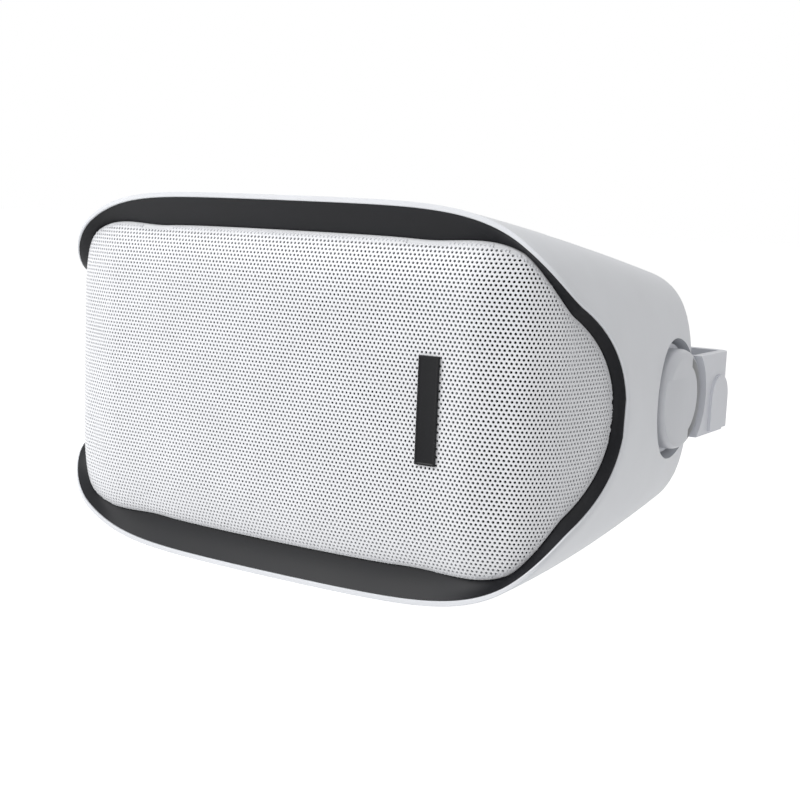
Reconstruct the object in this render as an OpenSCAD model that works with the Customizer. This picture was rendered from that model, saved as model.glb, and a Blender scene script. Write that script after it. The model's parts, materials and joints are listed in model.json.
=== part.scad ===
// Two-way wall speaker on a tilting U bracket.
// Millimetres, Z up, front towards -Y, origin on the wall at the middle of the bracket plate.

/* [Enclosure] */
// Width of the enclosure across its front rim
body_w = 305; // [290:1:330]
// Height of the enclosure at its front rim
body_h = 174; // [168:1:200]
// Depth from the foremost point of the grille to the back wall
body_d = 155; // [150:1:190]
// Width of the enclosure at its back
back_w = 285; // [278:1:300]
// Height of the enclosure at its back
back_h = 116; // [108:1:140]
// Thickness of the moulded wall
wall = 2.6; // [2:0.1:4]
// Radius round the back edge
back_r = 12; // [6:0.5:16]
// Radius of the gentle crown across the front
crown_r = 1500; // [1000:50:3000]
// Distance from the side of the enclosure to where the front begins to wrap
corner_in = 34.2; // [32:0.1:40]
// Radius of the corner where the front turns back
corner_r = 24.5; // [22:0.5:30]
// Angle of the wrapped ends to the front
end_slope = 75; // [68:1:76]
// How far the rim stands behind the foremost point of the grille
rim_back = 2.8; // [2:0.1:5]
// Width of the white rim round the bezel
rim_w = 2.4; // [1.8:0.1:3]

/* [Baffle] */
// How far the black bezel lies below the white rim
bezel_drop = 0.8; // [0.4:0.1:2]
// Visible width of the bezel above and below the grille
bezel_w = 13; // [10:0.5:16]
// Visible width of the bezel round the ends of the grille
bezel_end = 4; // [3:0.5:8]
// Depth of the bezel at the edge of the grille
trough_d = 6.2; // [4:0.1:7]
// Thickness of the lip of the bezel where it lies on the rim
lip_t = 1.4; // [1:0.1:2]
// Depth of the ledge that carries the grille
ledge_d = 8.4; // [8:0.1:10]
// Width of the ledge that carries the grille
ledge_w = 4; // [3:0.5:6]
// Depth of the baffle plate behind the rim
plate_d = 12; // [11:0.5:16]
// Thickness of the baffle plate
plate_t = 4; // [3:0.5:6]
// Clearance between mouldings that fit in each other
fit_gap = 0.2; // [0.1:0.05:0.4]

/* [Grille] */
// Thickness of the grille sheet
grille_t = 1.2; // [0.8:0.1:2]
// Width of the rolled border of the grille
roll_w = 26; // [18:1:32]
// Size of the holes shown in the grille
hole_d = 6; // [3:0.5:8]
// Spacing of the holes shown in the grille
hole_pitch = 15; // [14:0.5:24]
// Place of the badge plate along the grille
badge_x = 82; // [60:1:100]
// Width of the badge plate
badge_w = 9.6; // [6:0.2:14]
// Height of the badge plate
badge_h = 46; // [30:1:60]
// Thickness of the badge plate
badge_t = 1.2; // [0.8:0.1:2]

/* [Woofer] */
// Distance from the left side of the enclosure to the axis of the woofer
woofer_side = 108.5; // [106:0.5:112]
// Margin of the baffle above and below the woofer
woofer_margin = 20.5; // [19:0.5:26]
// Thickness of the woofer flange
flange_t = 3; // [2:0.5:4]
// Width of the woofer flange
flange_w = 11; // [10.5:0.5:12]
// Width of the roll of the surround
roll_d = 9.5; // [8:0.5:12]
// Depth from the flange to the back of the basket
basket_d = 40; // [38:1:50]
// Radius of the voice coil former
coil_r = 12.6; // [12:0.1:16]
// Diameter of the woofer magnet
magnet_d = 90; // [80:1:100]
// Thickness of the woofer magnet
magnet_t = 16; // [12:1:20]
// Thickness of the plates of the motor
motor_t = 6; // [4:0.5:8]
// Diameter of the screws that hold the drivers
screw_d = 4; // [3:0.2:4.4]

/* [Tweeter] */
// Distance from the right side of the enclosure to the axis of the tweeter
tweeter_side = 80.5; // [79:0.5:82]
// Diameter of the tweeter faceplate
tweeter_d = 74; // [66:1:78]
// Radius of the tweeter dome
dome_r = 13; // [10:0.5:14]
// Depth of the tweeter motor
tweeter_t = 18; // [14:1:26]

/* [Terminals] */
// Width of the terminal recess
cup_w = 66; // [60:1:76]
// Height of the terminal recess
cup_h = 40; // [36:1:46]
// Depth of the terminal recess
cup_d = 22; // [20:1:28]
// Wall of the terminal cup
cup_t = 2; // [1.5:0.1:3]
// Border of the terminal cup on the back wall
cup_rim = 8; // [7:0.5:10]
// Height of the middle of the recess above the pivot
cup_z = 16; // [14:0.5:18]
// Height of the binding posts above the pivot, clear of the bracket
post_z = 23; // [22.5:0.5:26]
// Distance between the two binding posts
post_gap = 19; // [18:0.5:24]
// Inner diameter of a post, for a plug
socket_d = 4; // [3.9:0.05:4.2]
// Outer diameter of a post
stud_d = 6; // [5.6:0.1:7]
// Outer diameter of a terminal cap
cap_d = 12; // [10.5:0.5:14]
// Length of a terminal cap
cap_l = 12; // [10:0.5:14]

/* [Pivot] */
// Distance of the pivot axis in front of the back wall
pivot_in = 31; // [30:0.5:36]
// Distance of the pivot axis in front of the wall
wall_off = 58; // [56:1:70]
// Diameter of a tightening knob
knob_d = 47; // [44:0.5:48]
// Height of a knob above the eye of the bracket
knob_t = 9.5; // [8:0.25:11]
// Diameter of the pocket that a knob sits in
pocket_d = 56.6; // [54:0.2:57]
// Depth of that pocket
pocket_t = 12.6; // [12:0.2:15]
// Thickness of the friction washer
washer_t = 2.5; // [1.5:0.25:3]
// Diameter of the friction washer
washer_d = 30; // [24:1:36]
// Diameter of the pivot bolt
bolt_d = 8; // [6:0.5:9]
// Teeth on a click-stop ring
click_n = 36; // [24:2:48]
// Running clearance of a turning part
run_gap = 0.05; // [0.02:0.01:0.1]

/* [Bracket] */
// Height of the bracket
arm_h = 39; // [34:0.5:42]
// Thickness of the bracket arms
arm_t = 4.8; // [4:0.2:6]
// Gap between the enclosure and the bracket arms
arm_gap = 0.6; // [0.5:0.1:1.5]
// Thickness of the eye round the pivot
eye_t = 4.5; // [3.5:0.25:6]
// Diameter of the eye
eye_d = 51.2; // [49:0.2:52]
// Thickness of the wall plate
back_t = 4; // [3:0.5:5]
// Height of the ribs along the wall plate
rib_h = 2; // [1.5:0.5:2.5]
// Radius of the outer corners of the bracket
bend_r = 8; // [6:0.5:10]
// Distance between the wall holes across
wall_hole_x = 160; // [120:1:220]
// Distance between the wall holes upwards
wall_hole_z = 20; // [16:1:24]
// Diameter of the wall holes
wall_hole_d = 5.5; // [4:0.1:6]

/* [Crossover] */
// Place of the crossover board along the back wall
board_x = 80; // [78:1:82]
// Width of the crossover board
board_w = 78; // [72:1:78]
// Height of the crossover board
board_h = 60; // [54:1:66]
// Height of the standoffs below the board
standoff_h = 8; // [5:0.5:12]
// Width of the damping pad
damp_w = 60; // [40:1:64]
// Thickness of the damping pad
damp_t = 22; // [10:1:26]

/* [Hidden] */
$fn = 64;

// Colours of the mouldings and metals
white = [0.90, 0.90, 0.91];
black = [0.07, 0.07, 0.08];
grey = [0.72, 0.73, 0.75];
beige = [0.72, 0.69, 0.60];
steel = [0.66, 0.66, 0.68];
brass = [0.78, 0.66, 0.36];

// Points round each section of the enclosure, and how square the sections are across and upwards
ring_n = 72;
front_m = 5.6;
front_n = 1.55;
back_m = 12;
back_n = 2.8;
sheet_m = 5.4;
sheet_n = 2.4;

// Main planes and places
y_front = -(wall_off + body_d - pivot_in);
y_rim = y_front + rim_back;
y_back = y_front + body_d;
y_pivot = -wall_off;
far = 400;

// Drivers
woofer_x = woofer_side - body_w / 2;
woofer_d = body_h - 2 * woofer_margin;
tweeter_x = body_w / 2 - tweeter_side;

// Plan curve of the front: crown, corner arc, straight wrapped end
corner_x = body_w / 2 - corner_in;
crown_a = asin(corner_x / crown_r);
wrap_x = corner_x + corner_r * (sin(end_slope) - sin(crown_a));

function mix(a, b, k) = a + (b - a) * k;
function halfW(d) = mix(body_w, back_w, d / body_d) / 2;
function halfH(d) = mix(body_h, back_h, d / body_d) / 2;
function signPow(v, e) = sign(v) * pow(abs(v), e);
function oval(a, b, m, n) =
  [for (i = [0:ring_n - 1]) let (t = 360 * i / ring_n) [a * signPow(cos(t), 2 / m), b * signPow(sin(t), 2 / n)]];
function frontA(x) =
  abs(x) < corner_x
    ? asin(abs(x) / crown_r)
    : asin(min(sin(end_slope), (abs(x) - corner_x) / corner_r + sin(crown_a)));
function frontY(x) =
  abs(x) < corner_x
    ? crown_r * (1 - cos(frontA(x)))
    : crown_r * (1 - cos(crown_a)) + corner_r * (cos(crown_a) - cos(frontA(x)))
      + max(0, abs(x) - wrap_x) * tan(end_slope);
// A point d behind the front curve, square to it
function frontPt(x, d) =
  [x - sign(x) * d * sin(frontA(x)), y_rim + frontY(x) + d * cos(frontA(x))];
function frontRing(o, d) = [for (p = o) let (q = frontPt(p[0], d)) [q[0], q[1], p[1]]];
// The same, but never in front of the flat baffle plate
plate_y = frontPt(corner_x, plate_d)[1];
function plateRing(o, d) =
  [for (p = o) let (q = frontPt(p[0], plate_d + d)) [q[0], max(q[1], plate_y + d), p[1]]];

// How far back the front reaches at its ends, and the outline of the grille there
tip_d = rim_back + frontY(body_w / 2 - 5);
sheet_a = halfW(tip_d) - (rim_w + bezel_end) * cos(end_slope);
sheet_b = halfH(0) - rim_w - bezel_w;
crest_d = -rim_back;

// Closed solid through a list of rings, with its two ends fanned from their middles
module skin(rings) {
  m = len(rings);
  n = len(rings[0]);
  ends = [for (r = [rings[0], rings[m - 1]])
    [for (k = [0:2]) (min([for (p = r) p[k]]) + max([for (p = r) p[k]])) / 2]];
  polyhedron(
    points = concat([for (r = rings) for (p = r) p], ends),
    faces = concat(
      [for (i = [0:m - 2]) for (j = [0:n - 1]) [i * n + j, i * n + (j + 1) % n, (i + 1) * n + (j + 1) % n]],
      [for (i = [0:m - 2]) for (j = [0:n - 1]) [i * n + j, (i + 1) * n + (j + 1) % n, (i + 1) * n + j]],
      [for (j = [0:n - 1]) [m * n, (j + 1) % n, j]],
      [for (j = [0:n - 1]) [m * n + 1, (m - 1) * n + j, (m - 1) * n + (j + 1) % n]]
    )
  );
}

// Outer form of the enclosure, drawn in by o on every side
function bodyRing(d, o, extra) =
  let (k = max(0, min(1, d / body_d)))
  [for (p = oval(halfW(d) - o - extra, halfH(d) - o - extra, mix(front_m, back_m, k), mix(front_n, back_n, k)))
    [p[0], y_front + d, p[1]]];

module bodyForm(o) {
  r = max(1, back_r - o);
  start = body_d - o - r;
  skin(concat(
    [for (d = [-6, start * 0.25, start * 0.5, start * 0.75]) bodyRing(d, o, 0)],
    [for (a = [0:22.5:90]) bodyRing(start + r * sin(a), o, r * (1 - cos(a)))]
  ));
}

// Everything behind the front curve, d deeper than the rim
front_xs = concat(
  [for (i = [0:5]) corner_x * i / 6],
  [for (i = [0:8]) corner_x + corner_r * (sin(mix(crown_a, end_slope, i / 8)) - sin(crown_a))],
  [body_w / 2 + 40]
);
module behindFront(d) {
  half = [for (x = front_xs) frontPt(x, d)];
  left = [for (i = [len(half) - 1:-1:1]) [-half[i][0], half[i][1]]];
  linear_extrude(height = far, center = true)
    polygon(concat(left, half, [[far, 0], [far, far], [-far, far], [-far, 0]]));
}

module behindPlate(d) {
  half = [for (x = front_xs) let (p = frontPt(x, plate_d + d)) [p[0], max(p[1], plate_y + d)]];
  left = [for (i = [len(half) - 1:-1:1]) [-half[i][0], half[i][1]]];
  linear_extrude(height = far, center = true)
    polygon(concat(left, half, [[far, 0], [far, far], [-far, far], [-far, 0]]));
}

// Cylinders and turned profiles along Y and along X
module rodY(x, z, y0, y1, r) translate([x, y0, z]) rotate([-90, 0, 0]) cylinder(h = y1 - y0, r = r);
module rodX(y, z, x0, x1, r) translate([x0, y, z]) rotate([0, 90, 0]) cylinder(h = x1 - x0, r = r);
module turnY(x, y, z, profile) translate([x, y, z]) rotate([-90, 0, 0]) rotate_extrude() polygon(profile);
module turnX(profile) translate([0, y_pivot, 0]) rotate([0, 90, 0]) rotate_extrude() polygon(profile);
module boxAt(x0, x1, y0, y1, z0, z1) translate([x0, y0, z0]) cube([x1 - x0, y1 - y0, z1 - z0]);

// Places of the screws that hold the baffle to its posts
post_d = 9;
post_screw = 14;
post_in = 8;
post_mid = (woofer_x + woofer_d / 2 + tweeter_x - tweeter_d / 2) / 2;
post_places = [for (s = [-1, 1]) for (p = [
  [post_in - corner_x, halfH(body_d) - post_in - 4],
  [post_mid, halfH(body_d) + 2],
  [corner_x - post_in, halfH(body_d) - post_in - 4]
]) [p[0], s * p[1]]];
baffle_front = plate_y;
baffle_rear = plate_y + plate_t;
head_h = 2.2;
hole_gap = 0.1;

// Stack along the pivot axis, outwards from the floor of the pocket
side_x = halfW(body_d - pivot_in);
floor_x = side_x - pocket_t;
floor_t = 4;
insert_l = 14;
eye_x0 = floor_x + washer_t;
eye_x1 = eye_x0 + eye_t;
knob_x0 = eye_x1 + 0.3;
knob_x1 = eye_x1 + knob_t;
arm_x0 = side_x + arm_gap;
arm_x1 = arm_x0 + arm_t;
ring_r0 = knob_d / 2 - 7;
ring_r1 = knob_d / 2 - 2.4;
click_h = knob_t - 3.2;

module enclosure_shell() color(white) {
  difference() {
    union() {
      difference() {
        intersection() {
          bodyForm(0);
          behindFront(0);
        }
        bodyForm(wall);
        rimSeat();
      }
      intersection() {
        bodyForm(wall / 2);
        union() {
          for (s = [-1, 1]) {
            scale([s, 1, 1]) pivotCup();
          }
          for (p = post_places) {
            rodY(p[0], p[1], baffle_rear, y_back, post_d / 2);
          }
          for (p = board_places) {
            rodY(p[0], p[1], y_back - wall - standoff_h, y_back, 3.5);
          }
        }
      }
    }
    for (s = [-1, 1]) {
      scale([s, 1, 1]) {
        rodX(y_pivot, 0, floor_x, far, pocket_d / 2);
        rodX(y_pivot, 0, floor_x - insert_l, floor_x + 1, bolt_d / 2 + 3);
      }
    }
    for (p = post_places) {
      rodY(p[0], p[1], baffle_rear - 1, baffle_rear + post_screw + 2, screw_d / 2 + hole_gap);
    }
    for (p = board_places) {
      rodY(p[0], p[1], y_back - wall - standoff_h - 1, y_back - wall - 1, 1.5);
    }
    boxAt(-cup_w / 2 - cup_t - fit_gap, cup_w / 2 + cup_t + fit_gap, y_back - wall - 1, y_back + 1,
      cup_z - cup_h / 2 - cup_t - fit_gap, cup_z + cup_h / 2 + cup_t + fit_gap);
    for (p = cup_places) {
      rodY(p[0], p[1], y_back - wall - 1, y_back + 1, 1.5);
    }
  }
}

module pivotCup() {
  rodX(y_pivot, 0, floor_x - floor_t, side_x + 1, pocket_d / 2 + wall);
  rodX(y_pivot, 0, floor_x - insert_l - 2, floor_x, bolt_d / 2 + 6);
}

module baffle() color(black) {
  difference() {
    union() {
      difference() {
        intersection() {
          bodyForm(wall + fit_gap);
          behindFront(-3);
        }
        behindPlate(plate_t);
        frontWell();
      }
      rimLip();
    }
    for (s = [-1, 1]) {
      scale([s, 1, 1]) rodX(y_pivot, 0, floor_x - floor_t - 1, far, pocket_d / 2 + wall + fit_gap);
    }
    rodY(woofer_x, 0, baffle_front - 1, baffle_rear + 1, basket_r + 0.5);
    rodY(tweeter_x, 0, baffle_front - 1, baffle_rear + 1, tweeter_r + 0.5);
    for (p = post_places) {
      rodY(p[0], p[1], baffle_front - 1, baffle_rear + 1, screw_d / 2 + hole_gap);
    }
    for (p = concat(woofer_screw_places, tweeter_screw_places)) {
      rodY(p[0], p[1], baffle_front - 1, baffle_rear + 1, screw_d / 2 + hole_gap);
    }
  }
}

// Inner edge of the white rim on the front curve, drawn in by o more
function rimZ(x, o) =
  let (
    d = rim_back + frontY(x), k = d / body_d, a = halfW(d) - (rim_w + o) * cos(end_slope),
    m = mix(front_m, back_m, k), n = mix(front_n, back_n, k)
  )
  (halfH(d) - rim_w - o) * pow(max(0, 1 - pow(abs(x) / a, m)), 1 / n);
function rimLine(o) =
  [for (p = oval(halfW(tip_d) - (rim_w + o) * cos(end_slope), 1, front_m, front_n))
    [p[0], sign(p[1]) * rimZ(p[0], o)]];
grille_line = oval(sheet_a + fit_gap, sheet_b + fit_gap, sheet_m, sheet_n);
function between(k) = let (r = rimLine(0)) [for (i = [0:ring_n - 1]) mix(grille_line[i], r[i], k)];
// The bezel slope goes on past the rim by this share of its width
well_k = 1.8;

// Seat of the bezel's lip, cut into the wall all round
module rimSeat() {
  seat_d = bezel_drop + lip_t + fit_gap;
  outer = frontRing(rimLine(0), -3);
  skin(concat(
    [
      [for (q = outer) [q[0], y_front - 30, q[2]]],
      outer,
      frontRing(rimLine(0), seat_d)
    ],
    [for (k = [0.8, 0.6, 0.4, 0.2, 0]) frontRing(between(k), seat_d)]
  ));
}

// The lip itself, a closed band that runs into the slope of the bezel
module rimLip() {
  rings = [
    frontRing(rimLine(fit_gap), bezel_drop),
    frontRing(rimLine(fit_gap), bezel_drop + lip_t),
    frontRing(between(0.5), mix(bezel_drop, trough_d, 0.5) + lip_t),
    frontRing(between(0.5), mix(bezel_drop, trough_d, 0.5))
  ];
  n = len(rings[0]);
  polyhedron(
    points = [for (r = rings) for (p = r) p],
    faces = [for (i = [0:3]) for (j = [0:n - 1]) for (h = [0, 1])
      let (a = i * n + j, b = i * n + (j + 1) % n, c = (i + 1) % 4 * n)
        h == 0 ? [a, b, c + (j + 1) % n] : [a, c + (j + 1) % n, c + j]]
  );
}

// What is cut out of the front: the sloping bezel, the slot of the grille, its ledge and the flat well
module frontWell() {
  in_a = sheet_a + fit_gap;
  in_b = sheet_b + fit_gap;
  outer = frontRing(between(well_k), mix(trough_d, bezel_drop, well_k));
  skin(concat(
    [
      [for (q = outer) [q[0], y_front - 30, q[2]]],
      outer,
      frontRing(rimLine(0), bezel_drop),
      frontRing(grille_line, trough_d),
      frontRing(grille_line, ledge_d),
      frontRing(oval(in_a - 2, in_b - ledge_w, sheet_m, sheet_n), ledge_d)
    ],
    [for (k = [1, 0.95, 0.9, 0.84, 0.78, 0.7, 0.35, 0.02])
      plateRing(oval(k * (in_a - 2), k * (in_b - ledge_w), sheet_m, sheet_n), 0)]
  ));
}

// One skin of the grille, t below its outer face, from the middle out to the edge
function domeDrop(i) = crest_d + (trough_d - crest_d) * (1 - sqrt(1 - pow(1 - min(1, i / roll_w), 2)));
function sheetRing(i, t) =
  frontRing(oval(sheet_a - t - i * cos(end_slope), sheet_b - t - i, sheet_m, sheet_n), domeDrop(i) + t);
function innerRing(k, t) =
  frontRing(oval(k * (sheet_a - t - roll_w * cos(end_slope)), k * (sheet_b - t - roll_w), sheet_m, sheet_n),
    crest_d + t);
function sheetSkin(t) = concat(
  [for (k = [0.02, 0.35, 0.7, 0.78, 0.84, 0.9, 0.95]) innerRing(k, t)],
  [for (i = [1, 0.75, 0.5, 0.3, 0.14, 0.04, 0]) sheetRing(roll_w * i, t)]
);

module grille() color(white) {
  outer = sheetSkin(0);
  inner = sheetSkin(grille_t);
  foot = [for (t = [0, grille_t]) frontRing(oval(sheet_a - t, sheet_b - t, sheet_m, sheet_n), ledge_d)];
  difference() {
    skin(concat(outer, foot, [for (i = [len(inner) - 1:-1:0]) inner[i]]));
    for (p = hole_places) {
      q = frontPt(p[0], 0);
      translate([q[0], q[1], p[1]])
        rotate([90, 0, sign(p[0]) * frontA(p[0])])
          cylinder(h = 24, r = hole_d / 2, center = true, $fn = 6);
    }
  }
}

row_h = hole_pitch * sqrt(3) / 2;
hole_places = [
  for (j = [-floor(sheet_b / row_h):floor(sheet_b / row_h)])
    for (i = [-floor(corner_x / hole_pitch):floor(corner_x / hole_pitch)])
      let (x = (i + (j % 2 == 0 ? 0 : 0.5)) * hole_pitch, z = j * row_h)
        if (pow(abs(x) / (sheet_a - roll_w), sheet_m) + pow(abs(z) / (sheet_b - 16), sheet_n) < 1)
          if (abs(x - badge_x) > badge_w / 2 + hole_d || abs(z) > badge_h / 2 + hole_d)
            [x, z]
];

module badge_plate() color(black) {
  q = frontPt(badge_x, crest_d - 0.05);
  translate([q[0], q[1], 0]) rotate([0, 0, frontA(badge_x)])
    boxAt(-badge_w / 2, badge_w / 2, -badge_t, 0, -badge_h / 2, badge_h / 2);
}

// Pan-head screw along Y with its head in front
module screwY(x, z, y, length, d) {
  rodY(x, z, y - head_h, y, d * 0.8);
  rodY(x, z, y - 0.01, y + length, d / 2);
}

module baffle_screws() color(steel)
  for (p = post_places) screwY(p[0], p[1], baffle_front, plate_t + post_screw, screw_d);

// Woofer, with each profile given as radius and distance behind the front of the baffle
basket_r = woofer_d / 2 - flange_w;
lip_r = basket_r + 3.4;
roll_mid = basket_r - 1 - roll_d / 2;
cone_r = roll_mid - roll_d / 2;
shelf_d = basket_d - 13.5;
shelf_r = coil_r + 27.5;
cap_r = coil_r + 7.5;
gap_r = coil_r + 1.1;
woofer_screw_r = woofer_d / 2 - screw_d * 0.85;
woofer_screw_places = [for (a = [45:90:315]) [woofer_x + woofer_screw_r * cos(a), woofer_screw_r * sin(a)]];

module woofer_basket() color(black) {
  difference() {
    turnY(woofer_x, baffle_front, 0, [
      [basket_r - 0.5, -flange_t], [woofer_d / 2, -flange_t], [woofer_d / 2, 0], [basket_r, 0],
      [shelf_r + 1.5, shelf_d + 1.5], [shelf_r - 7, shelf_d + 1.5], [shelf_r - 7, basket_d],
      [gap_r + 0.8, basket_d], [gap_r + 0.8, basket_d - 1.5], [shelf_r - 8.5, basket_d - 1.5],
      [shelf_r - 8.5, shelf_d], [shelf_r, shelf_d], [basket_r - 1.8, 0]
    ]);
    for (a = [0:60:300]) {
      translate([woofer_x, baffle_front, 0]) rotate([0, a, 0])
        boxAt(shelf_r + 2, woofer_d, plate_t + 2, shelf_d - 1, -15, 15);
    }
    for (p = woofer_screw_places) {
      rodY(p[0], p[1], baffle_front - flange_t - 1, baffle_front + 1, screw_d / 2 + hole_gap);
    }
  }
}

module woofer_screws() color(steel)
  for (p = woofer_screw_places) screwY(p[0], p[1], baffle_front - flange_t, flange_t + plate_t + 4, screw_d);

module woofer_gasket() color(black)
  turnY(woofer_x, baffle_front, 0, [
    [basket_r, -flange_t - 3], [lip_r, -flange_t - 3], [lip_r, -flange_t - 1], [basket_r, -flange_t - 1]
  ]);

module woofer_surround() color(black) {
  r = roll_d / 2;
  turnY(woofer_x, baffle_front, 0, concat(
    [[lip_r, -flange_t], [lip_r, -flange_t - 1]],
    [for (a = [0:15:180]) [roll_mid + r * cos(a), -flange_t - 1 - r * sin(a)]],
    [[cone_r - 3, -flange_t - 1], [cone_r - 3, -flange_t]],
    [for (a = [180:-15:0]) [roll_mid + (r - 0.9) * cos(a), -flange_t - (r - 0.6) * sin(a)]]
  ));
}

cone_lip = -flange_t;
cone_drop = shelf_d - 6.5;
module woofer_cone() color(black)
  turnY(woofer_x, baffle_front, 0, [
    [cone_r, cone_lip], [cone_r, cone_lip + 1], [cone_r - 3.4, cone_lip + 1], [coil_r + 0.35, cone_drop + 1.2],
    [coil_r + 0.35, cone_drop], [cone_r - 4, cone_lip]
  ]);

// Height of the face of the cone at the rim of the dust cap
cap_seat = mix(cone_drop, cone_lip, (cap_r - coil_r - 0.35) / (cone_r - 4 - coil_r - 0.35));
module dust_cap() color(black)
  turnY(woofer_x, baffle_front, 0, concat(
    [for (a = [0:10:90]) [cap_r * sin(a), cap_seat - 7.4 * cos(a)]],
    [for (a = [90:-10:0]) [(cap_r - 1) * sin(a), cap_seat - 6.6 * cos(a)]]
  ));

module voice_coil() color(brass)
  turnY(woofer_x, baffle_front, 0, [
    [coil_r, cone_drop - 1], [coil_r + 0.3, cone_drop - 1], [coil_r + 0.3, basket_d - 2.5],
    [coil_r + 0.7, basket_d - 2.5], [coil_r + 0.7, basket_d + motor_t + 2.5], [coil_r, basket_d + motor_t + 2.5]
  ]);

function wave(k) = shelf_d - 1.2 - 0.6 * sin(k * 360 * 4) * (k > 0.85 ? 0 : 1);
module woofer_spider() color(beige) {
  steps = 24;
  r0 = coil_r + 0.35;
  r1 = shelf_r - 0.6;
  turnY(woofer_x, baffle_front, 0, concat(
    [for (i = [0:steps]) [mix(r0, r1, i / steps), wave(i / steps)]],
    [for (i = [steps:-1:0]) [mix(r0, r1, i / steps), wave(i / steps) + (i / steps > 0.85 ? 1.2 : 0.6)]]
  ));
}

module woofer_top_plate() color(steel)
  turnY(woofer_x, baffle_front, 0, [
    [gap_r, basket_d], [magnet_d / 2 - 3, basket_d], [magnet_d / 2 - 3, basket_d + motor_t], [gap_r, basket_d + motor_t]
  ]);

module woofer_magnet() color([0.2, 0.2, 0.21])
  turnY(woofer_x, baffle_front, 0, [
    [gap_r + 6, basket_d + motor_t], [magnet_d / 2, basket_d + motor_t],
    [magnet_d / 2, basket_d + motor_t + magnet_t], [gap_r + 6, basket_d + motor_t + magnet_t]
  ]);

yoke_d = basket_d + motor_t + magnet_t;
module woofer_yoke() color(steel)
  turnY(woofer_x, baffle_front, 0, [
    [0, basket_d + 0.5], [coil_r - 0.5, basket_d + 0.5], [coil_r - 0.5, yoke_d], [magnet_d / 2 - 3, yoke_d],
    [magnet_d / 2 - 3, yoke_d + motor_t - 2], [magnet_d / 2 - 5, yoke_d + motor_t], [0, yoke_d + motor_t]
  ]);

// Tweeter: flared faceplate, dome on its own flange, sealed motor behind
tweeter_r = tweeter_d / 2 - 8;
throat_r = dome_r + 4.2;
tweeter_screw_places = [for (a = [45:90:315])
  [tweeter_x + (tweeter_d / 2 - 4) * cos(a), (tweeter_d / 2 - 4) * sin(a)]];

module tweeter_faceplate() color(black) {
  difference() {
    turnY(tweeter_x, baffle_front, 0, [
      [throat_r, 0.5], [throat_r + 3, -1.2], [throat_r + 7, -2.4], [throat_r + 10, -3], [tweeter_d / 2 - 0.6, -3],
      [tweeter_d / 2, -2.4], [tweeter_d / 2, 0], [tweeter_r, 0], [tweeter_r, 3], [throat_r, 3]
    ]);
    for (p = tweeter_screw_places) {
      rodY(p[0], p[1], baffle_front - 5, baffle_front + 1, screw_d / 2 + hole_gap);
    }
  }
}

module tweeter_dome() color([0.16, 0.16, 0.17])
  turnY(tweeter_x, baffle_front, 0, concat(
    [for (a = [0:10:90]) [dome_r * sin(a), 3 - 5.5 * cos(a)]],
    [[throat_r + 3, 3], [throat_r + 3, 3.6]],
    [for (a = [90:-10:0]) [(dome_r - 0.5) * sin(a), 3.6 - 5.5 * cos(a)]]
  ));

module tweeter_motor() color(steel)
  turnY(tweeter_x, baffle_front, 0, [
    [0, 3.7 + tweeter_t], [0, 6.5], [dome_r - 1.5, 6.5], [dome_r - 1.5, 3.6], [tweeter_r - 1, 3.6],
    [tweeter_r - 1, 2.7 + tweeter_t], [tweeter_r - 2, 3.7 + tweeter_t]
  ]);

module tweeter_screws() color(steel)
  for (p = tweeter_screw_places) screwY(p[0], p[1], baffle_front - 3, plate_t + 7, screw_d);

// Crossover on its standoffs
board_rear = y_back - wall - standoff_h;
board_t = 1.6;
board_places = [for (sx = [-1, 1]) for (sz = [-1, 1]) [board_x + sx * (board_w / 2 - 5), sz * (board_h / 2 - 5)]];

module crossover_board() color([0.1, 0.3, 0.18]) {
  difference() {
    boxAt(board_x - board_w / 2, board_x + board_w / 2, board_rear - board_t, board_rear,
      -board_h / 2, board_h / 2);
    for (p = board_places) {
      rodY(p[0], p[1], board_rear - board_t - 1, board_rear + 1, 1.5);
    }
  }
}

module board_screws() color(steel) for (p = board_places) screwY(p[0], p[1], board_rear - board_t, 8, 2.8);

module crossover_coil() color([0.72, 0.4, 0.2])
  turnY(board_x - board_w / 4, board_rear - board_t, 4, [[8, 0], [19, 0], [19, -15], [8, -15]]);

module capacitors() color([0.15, 0.2, 0.4])
  for (s = [0, 1]) {
    translate([board_x + 4, board_rear - board_t - 6.5, 8 - 20 * s]) rotate([0, 90, 0]) cylinder(h = 28, r = 6.5);
  }

module resistor() color([0.93, 0.93, 0.9])
  boxAt(board_x + 4, board_x + 30, board_rear - board_t - 9, board_rear - board_t, 18, 27);

// Terminal cup let into the back wall, with its two posts and caps
cup_floor = y_back - cup_d;
cup_places = [for (sx = [-1, 1]) for (sz = [-1, 1])
  [sx * (cup_w / 2 + cup_t + cup_rim / 2), cup_z + sz * (cup_h / 2 + cup_t + cup_rim / 2)]];

module terminal_cup() color(black) {
  out_w = cup_w / 2 + cup_t;
  out_h = cup_h / 2 + cup_t;
  difference() {
    union() {
      boxAt(-out_w, out_w, cup_floor - cup_t, y_back, cup_z - out_h, cup_z + out_h);
      boxAt(-out_w - cup_rim, out_w + cup_rim, y_back, y_back + cup_t,
        cup_z - out_h - cup_rim, cup_z + out_h + cup_rim);
    }
    boxAt(-cup_w / 2, cup_w / 2, cup_floor, y_back + cup_t + 1, cup_z - cup_h / 2, cup_z + cup_h / 2);
    for (p = cup_places) {
      rodY(p[0], p[1], y_back - 1, y_back + cup_t + 1, 1.5);
    }
    for (s = [-1, 1]) {
      rodY(s * post_gap / 2, post_z, cup_floor - cup_t - 1, cup_floor + 1, stud_d / 2 + hole_gap);
    }
  }
}

module cup_screws() color(steel)
  for (p = cup_places) {
    rodY(p[0], p[1], y_back + cup_t, y_back + cup_t + 1.2, 2.8);
    rodY(p[0], p[1], y_back - 6, y_back + cup_t + 0.01, 1.4);
  }

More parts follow.
